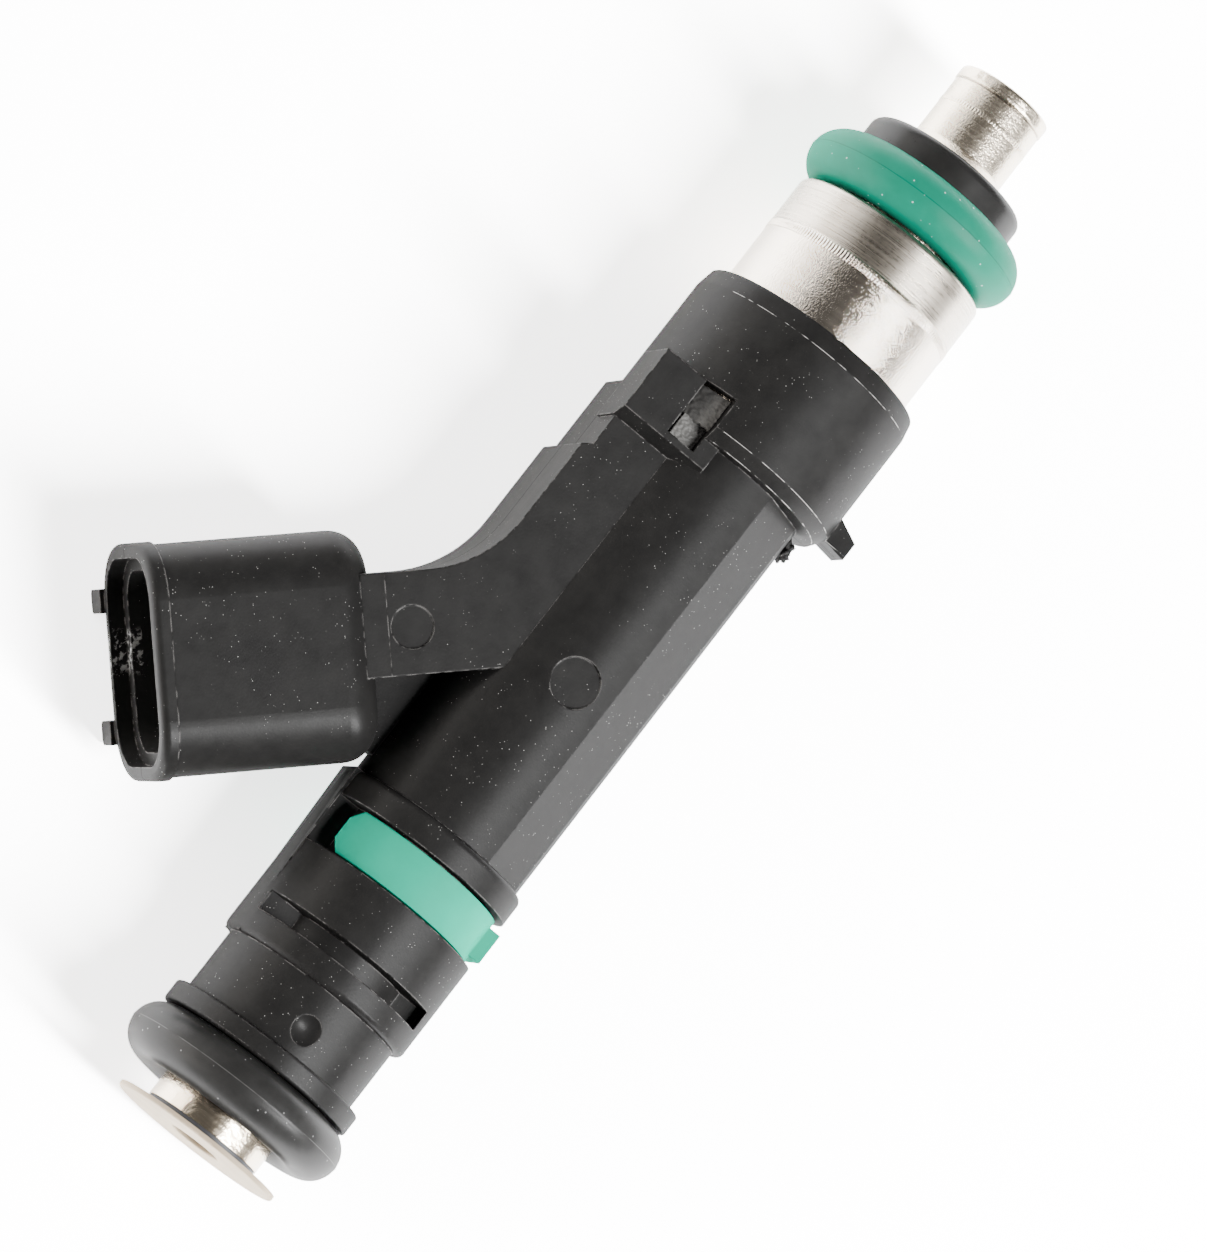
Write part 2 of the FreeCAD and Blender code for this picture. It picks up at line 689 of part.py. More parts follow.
armatureEnd = mm.pole_from_tip - mm.lift - mm.armature_gap
armatureStart = armatureEnd - mm.armature_length
stemEnd = armatureStart + mm.stem_insertion
pocketStart = armatureEnd - mm.spring_pocket_depth
pieceOf(revolve("armature", [
    (armatureStart, mm.stem_radius), (armatureStart, mm.sleeve_inner - mm.running_gap),
    (armatureEnd, mm.sleeve_inner - mm.running_gap), (armatureEnd, mm.spring_pocket_radius),
    (pocketStart, mm.spring_pocket_radius), (pocketStart, mm.armature_waist),
    (stemEnd, mm.armature_waist), (stemEnd, mm.stem_radius)]), "armature")

stemTube = ring("stem_tube", ballCentre, stemEnd, mm.stem_bore, mm.stem_radius)
stemPort = rod("stem_port", mm.stem_port_radius, mm.stem_radius * 2,
               -(ballCentre + mm.stem_port_from_ball), yAxis, -mm.stem_radius)
pieceOf(cut("valve_needle", stemTube, ball, stemPort), "valve_needle")

# Closing spring between the armature's pocket and the adjusting sleeve
springStart = pocketStart + mm.wire_radius
coils = doc.addObject("Part::Helix", "spring_line")
bind(coils, Radius=mm.spring_mean_radius, Pitch=mm.spring_pitch, Height=mm.spring_length)
wire = doc.addObject("Part::Circle", "spring_wire")
bind(wire, Radius=mm.wire_radius)
wire.Placement = FreeCAD.Placement(FreeCAD.Vector(), FreeCAD.Rotation(xAxis, 90))
shift(wire, mm.spring_mean_radius)
spring = doc.addObject("Part::Sweep", "return_spring")
spring.Sections = [wire]
spring.Spine = (coils, ["Edge1"])
spring.Solid = True
spring.Frenet = True
spring.Placement = FreeCAD.Placement(FreeCAD.Vector(), FreeCAD.Rotation(yAxis, -90))
pieceOf(shift(spring, -springStart), "return_spring")

adjusterStart = springStart + mm.spring_length + mm.wire_radius
pieceOf(ring("adjusting_sleeve", adjusterStart, adjusterStart + mm.adjuster_length, mm.adjuster_bore,
             mm.tube_bore), "adjusting_sleeve")

# Filter: a moulded basket with a gauze sleeve, held by a thin metal cap
basketStart = tubeEnd - mm.basket_length
footEnd = basketStart + mm.basket_foot_length
ringStart = tubeEnd - mm.basket_ring_length
basketRing = revolve("basket_ring", [
    (ringStart, mm.basket_ring_bore), (ringStart, mm.inlet_bore), (tubeEnd, mm.inlet_bore),
    (tubeEnd, mm.basket_flange_radius), (capStart, mm.basket_flange_radius),
    (capStart, mm.basket_ring_bore)])
basketFoot = rod("basket_foot", mm.basket_rib_outer, mm.basket_foot_length, -footEnd)
ribLength = ringStart - basketStart
ribHeight = mm.basket_rib_outer - mm.mesh_outer
halfRib = mm.basket_rib_width / 2
basketRibs = [
    box("rib_up", ribLength, mm.basket_rib_width, ribHeight, -ringStart, -halfRib, mm.mesh_outer),
    box("rib_down", ribLength, mm.basket_rib_width, ribHeight, -ringStart, -halfRib, -mm.basket_rib_outer),
    box("rib_left", ribLength, ribHeight, mm.basket_rib_width, -ringStart, mm.mesh_outer, -halfRib),
    box("rib_right", ribLength, ribHeight, mm.basket_rib_width, -ringStart, -mm.basket_rib_outer, -halfRib),
]
pieceOf(fuse("filter_basket", basketRing, basketFoot, *basketRibs), "filter_basket")
pieceOf(ring("filter_mesh", footEnd, ringStart, mm.mesh_outer - mm.mesh_thickness, mm.mesh_outer),
        "filter_mesh")

neckStart = capStart - mm.cap_neck_length
filterCap = revolve("filter_cap", [
    (neckStart, mm.cap_bore), (neckStart, mm.basket_ring_bore), (capStart, mm.basket_ring_bore),
    (capStart, mm.cap_radius), (capEnd, mm.cap_radius), (capEnd, mm.cap_bore)])
dress(filterCap, "Fillet", "cap_round", mm.cap_rounding,
      [circleAt(capEnd, mm.cap_radius), circleAt(capEnd, mm.cap_bore)])
pieceOf(filterCap, "filter_cap")

# Colour clip: a C of nylon that opens towards the connector's side
clipMiddle = clipStart + mm.clip_groove_length / 2
clipNear = clipMiddle - mm.clip_width / 2
clipFar = clipMiddle + mm.clip_width / 2
clipBody = newBody("clip_hoop")
clipSketch = polygon(clipBody, "clip_profile", "XY_Plane", [
    (-clipNear, -mm.clip_seat_radius), (-clipNear, -mm.clip_radius),
    (-clipFar, -mm.clip_radius), (-clipFar, -mm.clip_seat_radius)])
clipTurn = feature(clipBody, "Revolution", "clip_turn", clipSketch)
clipTurn.ReferenceAxis = (clipSketch, ["H_Axis"])
clipTurn.Midplane = True
bind(clipTurn, Angle=mm.clip_wrap)
clipWall = mm.clip_radius.value - mm.clip_seat_radius.value
dress(clipBody, "Chamfer", "clip_corners", mm.clip_corner,
      [lambda edge: isinstance(edge.Curve, Part.Line) and abs(edge.Length - clipWall) < 1e-3])
nubRoot = mm.clip_seat_radius + (mm.clip_radius - mm.clip_seat_radius) / 8
clipNub = box("clip_nub", mm.clip_nub_width, mm.band_radius - nubRoot, mm.clip_nub_half_height * 2,
              -(clipMiddle + mm.clip_nub_width / 2), -mm.band_radius, -mm.clip_nub_half_height)
pieceOf(fuse("colour_clip", clipBody, clipNub), "colour_clip")

# Overmould: the turned core first
core = revolve("mould_core", [
    (collarStart, mm.shell_radius), (collarStart, mm.collar_top_radius),
    (collarWall, mm.collar_radius), (collarChamfer, mm.collar_radius),
    (collarEnd, mm.collar_foot_radius), (collarEnd, mm.barrel_radius),
    (shoulderStart, mm.barrel_radius), (shoulderStart, mm.band_radius), (footStart, mm.band_radius),
    (footStart, mm.foot_radius), (inletFlangeStart, mm.foot_radius),
    (inletFlangeStart, mm.inlet_flange_radius), (inletFlangeEnd, mm.inlet_flange_radius),
    (inletFlangeEnd, mm.seal_seat_radius), (mm.tube_shoulder, mm.seal_seat_radius),
    (mm.tube_shoulder, mm.sleeve_outer), (washerEnd, mm.sleeve_outer), (washerEnd, mm.shell_radius)])
dress(core, "Fillet", "shoulder_round", mm.shoulder_rounding,
      [circleAt(shoulderStart, mm.band_radius), circleAt(footStart, mm.band_radius)])
dress(core, "Fillet", "flange_round", mm.flange_rounding,
      [circleAt(inletFlangeStart, mm.inlet_flange_radius), circleAt(inletFlangeEnd, mm.inlet_flange_radius),
       circleAt(collarStart, mm.collar_top_radius)])


def flatCutter(name, angle):
    """Takes the barrel down to the flat's distance on the side that the angle about X points to."""
    item = doc.addObject("Part::Box", name)
    bind(item, Length=mm.barrel_length, Width=mm.barrel_radius * 2, Height=mm.collar_radius)
    turned = FreeCAD.Rotation(xAxis, angle)
    item.Placement = FreeCAD.Placement(FreeCAD.Vector(), turned)
    down = turned.multVec(zAxis)
    side = turned.multVec(yAxis)
    return shift(item, -shoulderStart, mm.flat_distance * down.y - mm.barrel_radius * side.y,
                 mm.flat_distance * down.z - mm.barrel_radius * side.z)


# The wing and neck are one slab through the parting plane
def inPlan(along, across):
    """A plan point given along the connector's axis and across it, positive towards the nozzle."""
    return (-mm.connector_from_tip - along * lean.cos() + across * lean.sin(),
            along * lean.sin() + across * lean.cos())


neckEnd = mm.socket_back + mm.socket_wall / 2
bendAlong = (mm.wing_reach - mm.neck_outer * lean.cos()) / lean.sin()
bendX = inPlan(bendAlong, mm.neck_outer)[0]
innerRoot = mm.barrel_radius / 2
rootAlong = (innerRoot + mm.neck_inner * lean.cos()) / lean.sin()
rootX = inPlan(rootAlong, -mm.neck_inner)[0]
wingStep = collarEnd + mm.wing_step_from_collar
arm = newBody("arm")
armSketch = polygon(arm, "arm_outline", "XY_Plane", [
    (-collarChamfer, innerRoot), (-collarChamfer, mm.wing_upper_reach), (-wingStep, mm.wing_upper_reach),
    (-wingStep - mm.wing_step_length, mm.wing_reach), (bendX, mm.wing_reach),
    inPlan(neckEnd, mm.neck_outer), inPlan(neckEnd, -mm.neck_inner), (rootX, innerRoot)])
pad(arm, "arm_slab", armSketch, mm.arm_half_thickness * 2, symmetric=True)


def uprightAt(x, y):
    """A test for the straight edge that stands on one plan point."""

    def test(edge):
        ends = [vertex.Point for vertex in edge.Vertexes]
        return len(ends) == 2 and all(
            abs(end.x - x.value) < 1e-3 and abs(end.y - y.value) < 1e-3 for end in ends)

    return test


dress(arm, "Fillet", "neck_sweep", mm.neck_round, [uprightAt(bendX, mm.wing_reach)])
padSketch = polygon(arm, "neck_pad_outline", "XY_Plane", [
    inPlan(mm.neck_pad_start, mm.neck_outer), inPlan(neckEnd, mm.neck_outer),
    inPlan(neckEnd, -mm.neck_inner), inPlan(mm.neck_pad_start, -mm.neck_inner)])
pad(arm, "neck_pad", padSketch, (mm.arm_half_thickness + mm.neck_pad_proud) * 2, symmetric=True)

web = newBody("web")
webCorner = inPlan(neckEnd, -mm.socket_width / 2 + mm.socket_corner / 3)
webSketch = polygon(web, "web_outline", "XY_Plane", [
    (rootX, innerRoot), inPlan(neckEnd, zero), webCorner, (webCorner[0], innerRoot)])
pad(web, "web_slab", webSketch, mm.web_half_thickness * 2, symmetric=True)

spine = newBody("spine")
spineSketch = polygon(spine, "spine_outline", "XY_Plane", [
    (-shoulderStart, mm.clip_seat_radius), (-shoulderStart, mm.spine_reach),
    (-footStart, mm.spine_foot_reach), (-footStart, mm.clip_seat_radius)])
pad(spine, "spine_slab", spineSketch, mm.spine_half_width * 2, symmetric=True)

# Connector shell, built along its own x and then leaned
shell = newBody("shell")
slant = mm.mouth_slant
mouthMiddle = mm.socket_mouth - mm.socket_height / 2 * slant.sin() / slant.cos()
shellLength = mm.socket_mouth - mm.socket_back
shellSketch = roundedRectangle(shell, "shell_outline", "YZ_Plane", mm.socket_width, mm.socket_height,
                               mm.socket_corner, mm.socket_back)
pad(shell, "shell_block", shellSketch, shellLength)


def onBackPlane(edge):
    return all(abs(vertex.Point.x - mm.socket_back.value) < 1e-4 for vertex in edge.Vertexes)


dress(shell, "Fillet", "shell_back", mm.socket_back_round, [onBackPlane])
trimSketch = polygon(shell, "trim_outline", "YZ_Plane", [
    (-mm.socket_width, -mm.socket_height), (mm.socket_width, -mm.socket_height),
    (mm.socket_width, mm.socket_height), (-mm.socket_width, mm.socket_height)], mouthMiddle, slant)
trim = feature(shell, "Pocket", "mouth_trim", trimSketch)
trim.Reversed = True
bind(trim, Length=mm.socket_height)
rimSketch = roundedRectangle(shell, "rim_outline", "YZ_Plane", mm.socket_width + mm.rim_proud * 2,
                             mm.socket_height + mm.rim_proud * 2, mm.socket_corner + mm.rim_proud,
                             mouthMiddle, slant)
pad(shell, "rim_bead", rimSketch, mm.rim_length).Reversed = True


def onMouthPlane(edge):
    return all(abs((vertex.Point.x - mouthMiddle.value) * slant.cos().value
                   + vertex.Point.z * slant.sin().value) < 1e-4 for vertex in edge.Vertexes)


dress(shell, "Fillet", "rim_round", mm.rim_rounding, [onMouthPlane])
rampSketch = polygon(shell, "ramp_outline", "XZ_Plane", [
    (mm.ramp_start, -mm.socket_height / 2 + mm.socket_wall / 2),
    (mm.ramp_start, -mm.socket_height / 2), (mm.ramp_peak, -mm.ramp_reach), (mm.ramp_end, -mm.ramp_reach),
    (mm.ramp_end, -mm.socket_height / 2 + mm.socket_wall / 2)])
pad(shell, "lock_ramp", rampSketch, mm.ramp_width, symmetric=True)
for side, place in (("near", mm.rib_spread), ("far", -mm.rib_spread)):
    low = place - mm.rib_offset - mm.rib_width / 2
    high = low + mm.rib_width
    top = -mm.socket_height / 2 + mm.lip_wall / 3
    ribSketch = polygon(shell, f"{side}_rib_outline", "YZ_Plane",
                        [(low, -mm.rib_reach), (high, -mm.rib_reach), (high, top), (low, top)],
                        mm.socket_mouth - mm.rib_length)
    pad(shell, f"{side}_rib", ribSketch, mm.rib_length + mm.rib_proud)
hollowSketch = roundedRectangle(shell, "hollow_outline", "YZ_Plane",
                                mm.socket_width - mm.socket_wall * 2, mm.socket_height - mm.socket_wall * 2,
                                mm.socket_corner - mm.socket_wall, mm.socket_mouth)
hollow = feature(shell, "Pocket", "hollow", hollowSketch)
bind(hollow, Length=mm.socket_depth)
lipSketch = roundedRectangle(shell, "lip_outline", "YZ_Plane", mm.socket_width - mm.lip_wall * 2,
                             mm.socket_height - mm.lip_wall * 2, mm.socket_corner - mm.lip_wall,
                             mouthMiddle, slant)
lip = feature(shell, "Pocket", "lip", lipSketch)
bind(lip, Length=mm.lip_depth)


def ribTip(edge):
    ends = [vertex.Point for vertex in edge.Vertexes]
    low = all(abs(end.z + mm.rib_reach.value) < 1e-4 for end in ends)
    return low and len(ends) == 2 and abs(ends[0].x - ends[1].x) > 1


dress(shell, "Fillet", "rib_tips", mm.rib_rounding, [ribTip])
placeInConnector(shell, zero, zero)

# Block beside the collar, and the lug across from it
blockBody = newBody("block")
blockEnd = mm.block_start + mm.block_length
blockSketch = polygon(blockBody, "block_outline", "XZ_Plane", [
    (-mm.block_start, mm.web_half_thickness), (-mm.block_start, mm.block_top), (-blockEnd, mm.block_top),
    (-blockEnd - mm.block_slope, mm.arm_half_thickness), (-blockEnd - mm.block_slope, mm.web_half_thickness)],
    -mm.block_far)
pad(blockBody, "block_slab", blockSketch, mm.block_far - mm.block_near)

lugStart = collarEnd - mm.lug_length
lug = newBody("lug")
lugSketch = polygon(lug, "lug_outline", "XY_Plane", [
    (-lugStart, -mm.collar_foot_radius), (-lugStart - mm.lug_slope, -mm.lug_reach),
    (-collarChamfer - mm.lug_slope / 4, -mm.lug_reach), (-collarChamfer, -mm.collar_foot_radius)])
pad(lug, "lug_slab", lugSketch, mm.lug_half_thickness * 2, symmetric=True)

# What is taken away from the overmould
clipGroove = cut("clip_groove", ring("clip_groove_ring", clipStart, bandStart, mm.clip_seat_radius,
                                     mm.collar_radius),
                 box("groove_stop", mm.clip_groove_length, mm.collar_radius, mm.collar_radius * 2,
                     -bandStart, mm.groove_end, -mm.collar_radius),
                 box("groove_bed", mm.clip_groove_length, mm.groove_end, mm.groove_floor * 2,
                     -bandStart, zero, -mm.groove_floor))
slotWidth = mm.slot_end_left + mm.slot_end_right
slotHeight = mm.collar_radius - mm.slot_floor
windows = cut("windows", fuse(
    "window_blocks",
    box("window_up", mm.slot_length, slotWidth, slotHeight, -slotEnd, -mm.slot_end_right, mm.slot_floor),
    box("window_down", mm.slot_length, slotWidth, slotHeight, -slotEnd, -mm.slot_end_right,
        -mm.collar_radius)),
    rod("window_core", mm.slot_core_radius, mm.slot_length, -slotEnd))
pocketWidth = mm.pocket_far - mm.pocket_near
pocketFoot = -blockEnd + mm.block_slope * 0.8
pocket = box("pocket", mm.pocket_length, pocketWidth, mm.collar_radius, pocketFoot,
             mm.pocket_near, mm.block_top - mm.pocket_depth)
pocketStep = box("pocket_step_block", mm.pocket_step, pocketWidth, mm.pocket_depth / 4,
                 pocketFoot, mm.pocket_near, mm.block_top - mm.pocket_depth)
dimple = doc.addObject("Part::Sphere", "dimple")
bind(dimple, Radius=mm.dimple_radius)
shift(dimple, mm.dimple_from_flange - inletFlangeStart, zero,
      mm.foot_radius - mm.dimple_depth + mm.dimple_radius)
ejectorMark = rod("ejector_mark", mm.ejector_radius, mm.barrel_radius, -mm.ejector_from_tip, zAxis,
                  zero, mm.ejector_floor)
neckMarkAt = inPlan(mm.neck_mark_along, mm.neck_mark_across)
neckMark = rod("neck_mark", mm.neck_mark_radius, mm.arm_half_thickness, neckMarkAt[0], zAxis, neckMarkAt[1],
               mm.arm_half_thickness - mm.neck_mark_depth)
flatBarrel = cut("flat_barrel", core, flatCutter("upper_flat", 45), flatCutter("lower_flat", 135))
moulded = fuse("moulded", flatBarrel, arm, web, spine, shell, blockBody, lug)
# the slab and block start inside the core's wall, so the bores are opened again
shellSeat = rod("shell_seat", mm.shell_radius, washerEnd - collarStart, -washerEnd)
sleeveSeat = rod("sleeve_seat", mm.sleeve_outer, mm.tube_shoulder - washerEnd, -mm.tube_shoulder)
tubeSeat = rod("tube_seat", mm.seal_seat_radius, inletFlangeEnd - mm.tube_shoulder, -inletFlangeEnd)
pocketCut = cut("pocket_cut", pocket, pocketStep)
overmould = cut("overmould_body", moulded, clipGroove, windows, pocketCut, dimple, ejectorMark, neckMark,
                shellSeat, sleeveSeat, tubeSeat, innerTerminal, outerTerminal, bossBlock("boss_seat"))
pieceOf(overmould, "overmould_body")

doc.recompute()

faults = [item.Name for item in doc.Objects if "Invalid" in item.State or "Error" in item.State]
for piece in pieces:
    if piece.Shape.isNull() or not piece.Shape.isValid():
        faults.append(piece.Label)
if faults:
    raise RuntimeError("these did not build: " + ", ".join(faults))

os.makedirs("parts", exist_ok=True)
for piece in pieces:
    piece.Shape.exportStep(f"parts/{piece.Label}.step")
    shape = piece.Shape
    print(f"{piece.Label:20s} solids {len(shape.Solids)}  volume {shape.Volume:9.3f}")
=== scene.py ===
import math
import bmesh
import bpy
from mathutils import Matrix, Vector, noise


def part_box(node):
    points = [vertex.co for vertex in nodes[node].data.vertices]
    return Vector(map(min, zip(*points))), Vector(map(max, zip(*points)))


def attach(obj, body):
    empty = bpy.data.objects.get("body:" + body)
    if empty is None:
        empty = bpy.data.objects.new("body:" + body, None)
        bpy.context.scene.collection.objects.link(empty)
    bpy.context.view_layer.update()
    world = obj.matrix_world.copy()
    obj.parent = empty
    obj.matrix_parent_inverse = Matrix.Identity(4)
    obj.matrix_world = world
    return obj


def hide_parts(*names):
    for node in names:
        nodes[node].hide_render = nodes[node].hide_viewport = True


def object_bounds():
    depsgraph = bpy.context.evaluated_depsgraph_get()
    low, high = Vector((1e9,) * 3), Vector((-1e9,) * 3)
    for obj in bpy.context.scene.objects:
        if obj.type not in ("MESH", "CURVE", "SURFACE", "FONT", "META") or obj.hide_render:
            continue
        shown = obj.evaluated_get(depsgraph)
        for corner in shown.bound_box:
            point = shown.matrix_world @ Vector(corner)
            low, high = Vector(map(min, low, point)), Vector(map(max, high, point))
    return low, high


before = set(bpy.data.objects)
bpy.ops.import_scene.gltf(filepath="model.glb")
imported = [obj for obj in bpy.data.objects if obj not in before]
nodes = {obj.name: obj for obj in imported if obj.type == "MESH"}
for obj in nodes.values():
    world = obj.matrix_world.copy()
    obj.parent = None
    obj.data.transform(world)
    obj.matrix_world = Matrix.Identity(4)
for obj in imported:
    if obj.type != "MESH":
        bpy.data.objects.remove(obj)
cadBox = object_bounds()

mm = 0.001
mainBody = "injector_body"
socketFoot = 39.4 * mm
socketLean = (math.cos(math.radians(46.7)), math.sin(math.radians(46.7)))
print("frame loaded:", len(nodes), "pieces")


# Shader expressions: a wire holds one socket, and sums on wires add their Math nodes
class wire:
    def __init__(self, board, socket):
        self.board = board
        self.socket = socket

    def math(self, operation, other=None, flipped=False):
        values = [self] if other is None else ([other, self] if flipped else [self, other])
        return self.board.add("ShaderNodeMath", {"operation": operation}, dict(enumerate(values)))

    def __add__(self, other): return self.math("ADD", other)
    def __radd__(self, other): return self.math("ADD", other, True)
    def __sub__(self, other): return self.math("SUBTRACT", other)
    def __rsub__(self, other): return self.math("SUBTRACT", other, True)
    def __mul__(self, other): return self.math("MULTIPLY", other)
    def __rmul__(self, other): return self.math("MULTIPLY", other, True)
    def __truediv__(self, other): return self.math("DIVIDE", other)
    def __rtruediv__(self, other): return self.math("DIVIDE", other, True)
    def __pow__(self, other): return self.math("POWER", other)
    def __gt__(self, other): return self.math("GREATER_THAN", other)
    def __lt__(self, other): return self.math("LESS_THAN", other)
    def __abs__(self): return self.math("ABSOLUTE")

    def part(self, name):
        return wire(self.board, self.socket.node.outputs[name])


# The drawing board of one material or world: every node comes from add()
class board:
    def __init__(self, owner):
        self.owner = owner
        owner.use_nodes = True
        self.tree = owner.node_tree
        self.tree.nodes.clear()

    def add(self, kind, settings=None, inputs=None, output=0):
        made = self.tree.nodes.new(kind)
        for key, value in (settings or {}).items():
            setattr(made, key, value)
        for key, value in (inputs or {}).items():
            if isinstance(value, wire):
                self.tree.links.new(value.socket, made.inputs[key])
            else:
                made.inputs[key].default_value = value
        return wire(self, made.outputs[output])

    def place(self):
        return self.add("ShaderNodeTexCoord", output="Object")

    def axes(self):
        split = self.add("ShaderNodeSeparateXYZ", None, {0: self.place()})
        return split.part("X"), split.part("Y"), split.part("Z")

    def stretched(self, x, y, z):
        return self.add("ShaderNodeVectorMath", {"operation": "MULTIPLY"}, {0: self.place(), 1: (x, y, z)})

    def grain(self, scale, detail=2.0, roughness=0.5, vector=None):
        return self.add("ShaderNodeTexNoise", None, {
            "Vector": vector or self.place(), "Scale": scale, "Detail": detail, "Roughness": roughness})

    def cells(self, scale):
        return self.add("ShaderNodeTexVoronoi", None, {"Vector": self.place(), "Scale": scale}, "Distance")

    def ramp(self, value, low, high, start=0.0, end=1.0):
        return self.add("ShaderNodeMapRange", {"clamp": True, "interpolation_type": "SMOOTHSTEP"}, {
            "Value": value, "From Min": low, "From Max": high, "To Min": start, "To Max": end})

    def blend(self, share, first, second):
        return self.add("ShaderNodeMix", {"data_type": "RGBA"}, {
            "Factor": share, 6: colour4(first), 7: colour4(second)}, output=2)

    def bump(self, height, strength, depth, under=None):
        inputs = {"Height": height, "Strength": strength, "Distance": depth}
        if under:
            inputs["Normal"] = under
        return self.add("ShaderNodeBump", None, inputs)

    def bevel(self, radius):
        return self.add("ShaderNodeBevel", {"samples": 6}, {"Radius": radius})

    def finish(self, inputs):
        return self.toOutput(self.add("ShaderNodeBsdfPrincipled", None, inputs))

    # A dull shader with a share of the same one under a clear gloss
    def satin(self, share, inputs):
        dull = self.add("ShaderNodeBsdfPrincipled", None, {**inputs, "Specular IOR Level": 0.0})
        glossy = self.add("ShaderNodeBsdfPrincipled", None, inputs)
        return self.toOutput(self.add("ShaderNodeMixShader", None, {0: share, 1: dull, 2: glossy}))

    def toOutput(self, shader, kind="ShaderNodeOutputMaterial"):
        self.tree.links.new(shader.socket, self.tree.nodes.new(kind).inputs["Surface"])
        return self.owner


def colour4(value):
    return value if isinstance(value, wire) else (*value, 1.0)


def newMaterial(name):
    return board(bpy.data.materials.new(name))


def nylonBlack():
    # painted highlight lines and flatEnds are measured back from the tip, mouth and scuff in the connector's
    # own directions
    # The line tint is a painted highlight along the collar's edges
    look = {"tint": (0.0055, 0.0054, 0.0054), "dust": (0.0125, 0.0122, 0.0118), "fleck": (0.45, 0.45, 0.43),
            "line": (0.3, 0.3, 0.29), "edgeGlint": (0.16, 0.155, 0.15), "roughness": 0.37, "edge": 0.13 * mm,
            "seam": 0.05 * mm, "seamTint": (0.002, 0.002, 0.002), "relief": 0.05 * mm,
            "highlightLines": [(20.03, 7.38, 0.024), (27.28, 7.38, 0.02), (28.04, 6.84, 0.02)],
            "highlightLineReach": (6.4 * mm, 2.4 * mm, 2.4 * mm), "gloss": 0.13, "flatGloss": 0.03,
            "flat": 5.46 * mm, "flatEnds": (28.3 * mm, 54.9 * mm), "barrel": 5.87 * mm,
            "mouth": 25.9 * mm, "lip": (-4.9 * mm, -2.9 * mm), "scuff": (0.26, 0.26, 0.255),
            "scuffMiddle": 0.6 * mm, "scuffAcross": 1.5 * mm}
    pen = newMaterial("nylonBlack")
    x, y, z = pen.axes()
    radius = (y * y + z * z) ** 0.5
    mottle = pen.grain(700, 4, 0.6)
    fine = pen.grain(9000, 3, 0.65)
    patchy = pen.grain(160, 2, 0.5)
    broken = pen.ramp(pen.grain(1300, 2, 0.6), 0.42, 0.56)
    speck = (pen.ramp(pen.cells(4300), 0.15, 0.06) * pen.ramp(pen.grain(1500, 1), 0.5, 0.62)
             * pen.ramp(patchy, 0.36, 0.6))
    seam = pen.ramp(abs(z), look["seam"], look["seam"] * 0.4)
    # Painted highlight: light grey lines round the collar's edges, broken up by noise
    highlightLine = 0
    for (place, inner, width), reach in zip(look["highlightLines"], look["highlightLineReach"]):
        mark = pen.ramp(abs(x + place * mm), width * mm, width * mm * 0.35)
        highlightLine = mark * (radius > inner * mm) * (y < reach) + highlightLine
    along = (x + socketFoot) * -socketLean[0] + y * socketLean[1]
    across = (x + socketFoot) * socketLean[1] + y * socketLean[0]
    inMouth = (along > look["mouth"]) * (z < look["lip"][1]) * (z > look["lip"][0])
    scuff = (inMouth * pen.ramp(pen.grain(2600, 3, 0.7), 0.5, 0.6)
             * pen.ramp(abs(across - look["scuffMiddle"]), look["scuffAcross"], look["scuffAcross"] * 0.5))
    soft = pen.bevel(look["edge"])
    straight = pen.add("ShaderNodeNewGeometry", output="Normal")
    turned = pen.add("ShaderNodeVectorMath", {"operation": "DOT_PRODUCT"}, {0: soft, 1: straight}, "Value")
    # Painted highlight: the colour is lightened where the bevelled normal turns away from the true one, along
    # every rounded edge
    edgeGlint = pen.ramp(turned, 0.985, 0.9) * broken
    onFlat = ((z - y) * math.sqrt(0.5) > look["flat"]) * (radius < look["barrel"])
    onFlat = onFlat * (x < -look["flatEnds"][0]) * (x > -look["flatEnds"][1])
    tone = pen.blend(mottle, look["tint"], look["dust"])
    tone = pen.blend(edgeGlint * 0.5, tone, look["edgeGlint"])
    tone = pen.blend(highlightLine * broken * 0.9, tone, look["line"])
    tone = pen.blend(speck * 0.55, tone, look["fleck"])
    tone = pen.blend(scuff * 0.8, tone, look["scuff"])
    tone = pen.blend(seam * 0.9, tone, look["seamTint"])
    rough = look["roughness"] + (mottle - 0.5) * 0.16 + (fine - 0.5) * 0.14 + seam * 0.5 - scuff * 0.15
    height = fine * 0.35 + mottle * 0.45 + speck * 0.6 + scuff * 1.5 - seam * 3.0
    surface = pen.bump(height, 0.35, look["relief"], soft)
    return pen.satin(onFlat * look["flatGloss"] + look["gloss"],
                     {"Base Color": tone, "Roughness": rough, "Normal": surface})


def turnedSteel(name, look):
    pen = newMaterial(name)
    x, y, z = pen.axes()
    lines = pen.grain(1.0, 4, 0.75, pen.stretched(look["lines"], 160, 160))
    peel = pen.grain(look["peel"], 3, 0.6)
    sparse = pen.ramp(pen.grain(look["pits"] * 0.7, 1), 0.5, 0.6)
    pits = pen.ramp(pen.cells(look["pits"]), 0.16, 0.05) * sparse
    tone = pen.blend(lines, look["dark"], look["light"])
    tone = pen.blend(pits * 0.6, tone, look["pit"])
    rough = look["roughness"] + (lines - 0.5) * look["swing"] + (peel - 0.5) * 0.1
    height = lines * look["cut"] + peel * look["orange"] - pits * 0.5
    if "groove" in look:
        # Painted shade: the groove near the tip's rim is darkened in the colour, on top of being sunk by the
        # bump
        groove = pen.ramp(abs(x + look["groove"]), look["grooveEdge"], look["grooveFloor"])
        tone = pen.blend(groove * 0.85, tone, look["pit"])
        height = height - groove * 3.0
    surface = pen.bump(height, 0.5, relief["steel"], pen.bevel(look["edge"]))
    return pen.finish({"Base Color": tone, "Metallic": 1.0, "Roughness": rough, "Normal": surface})


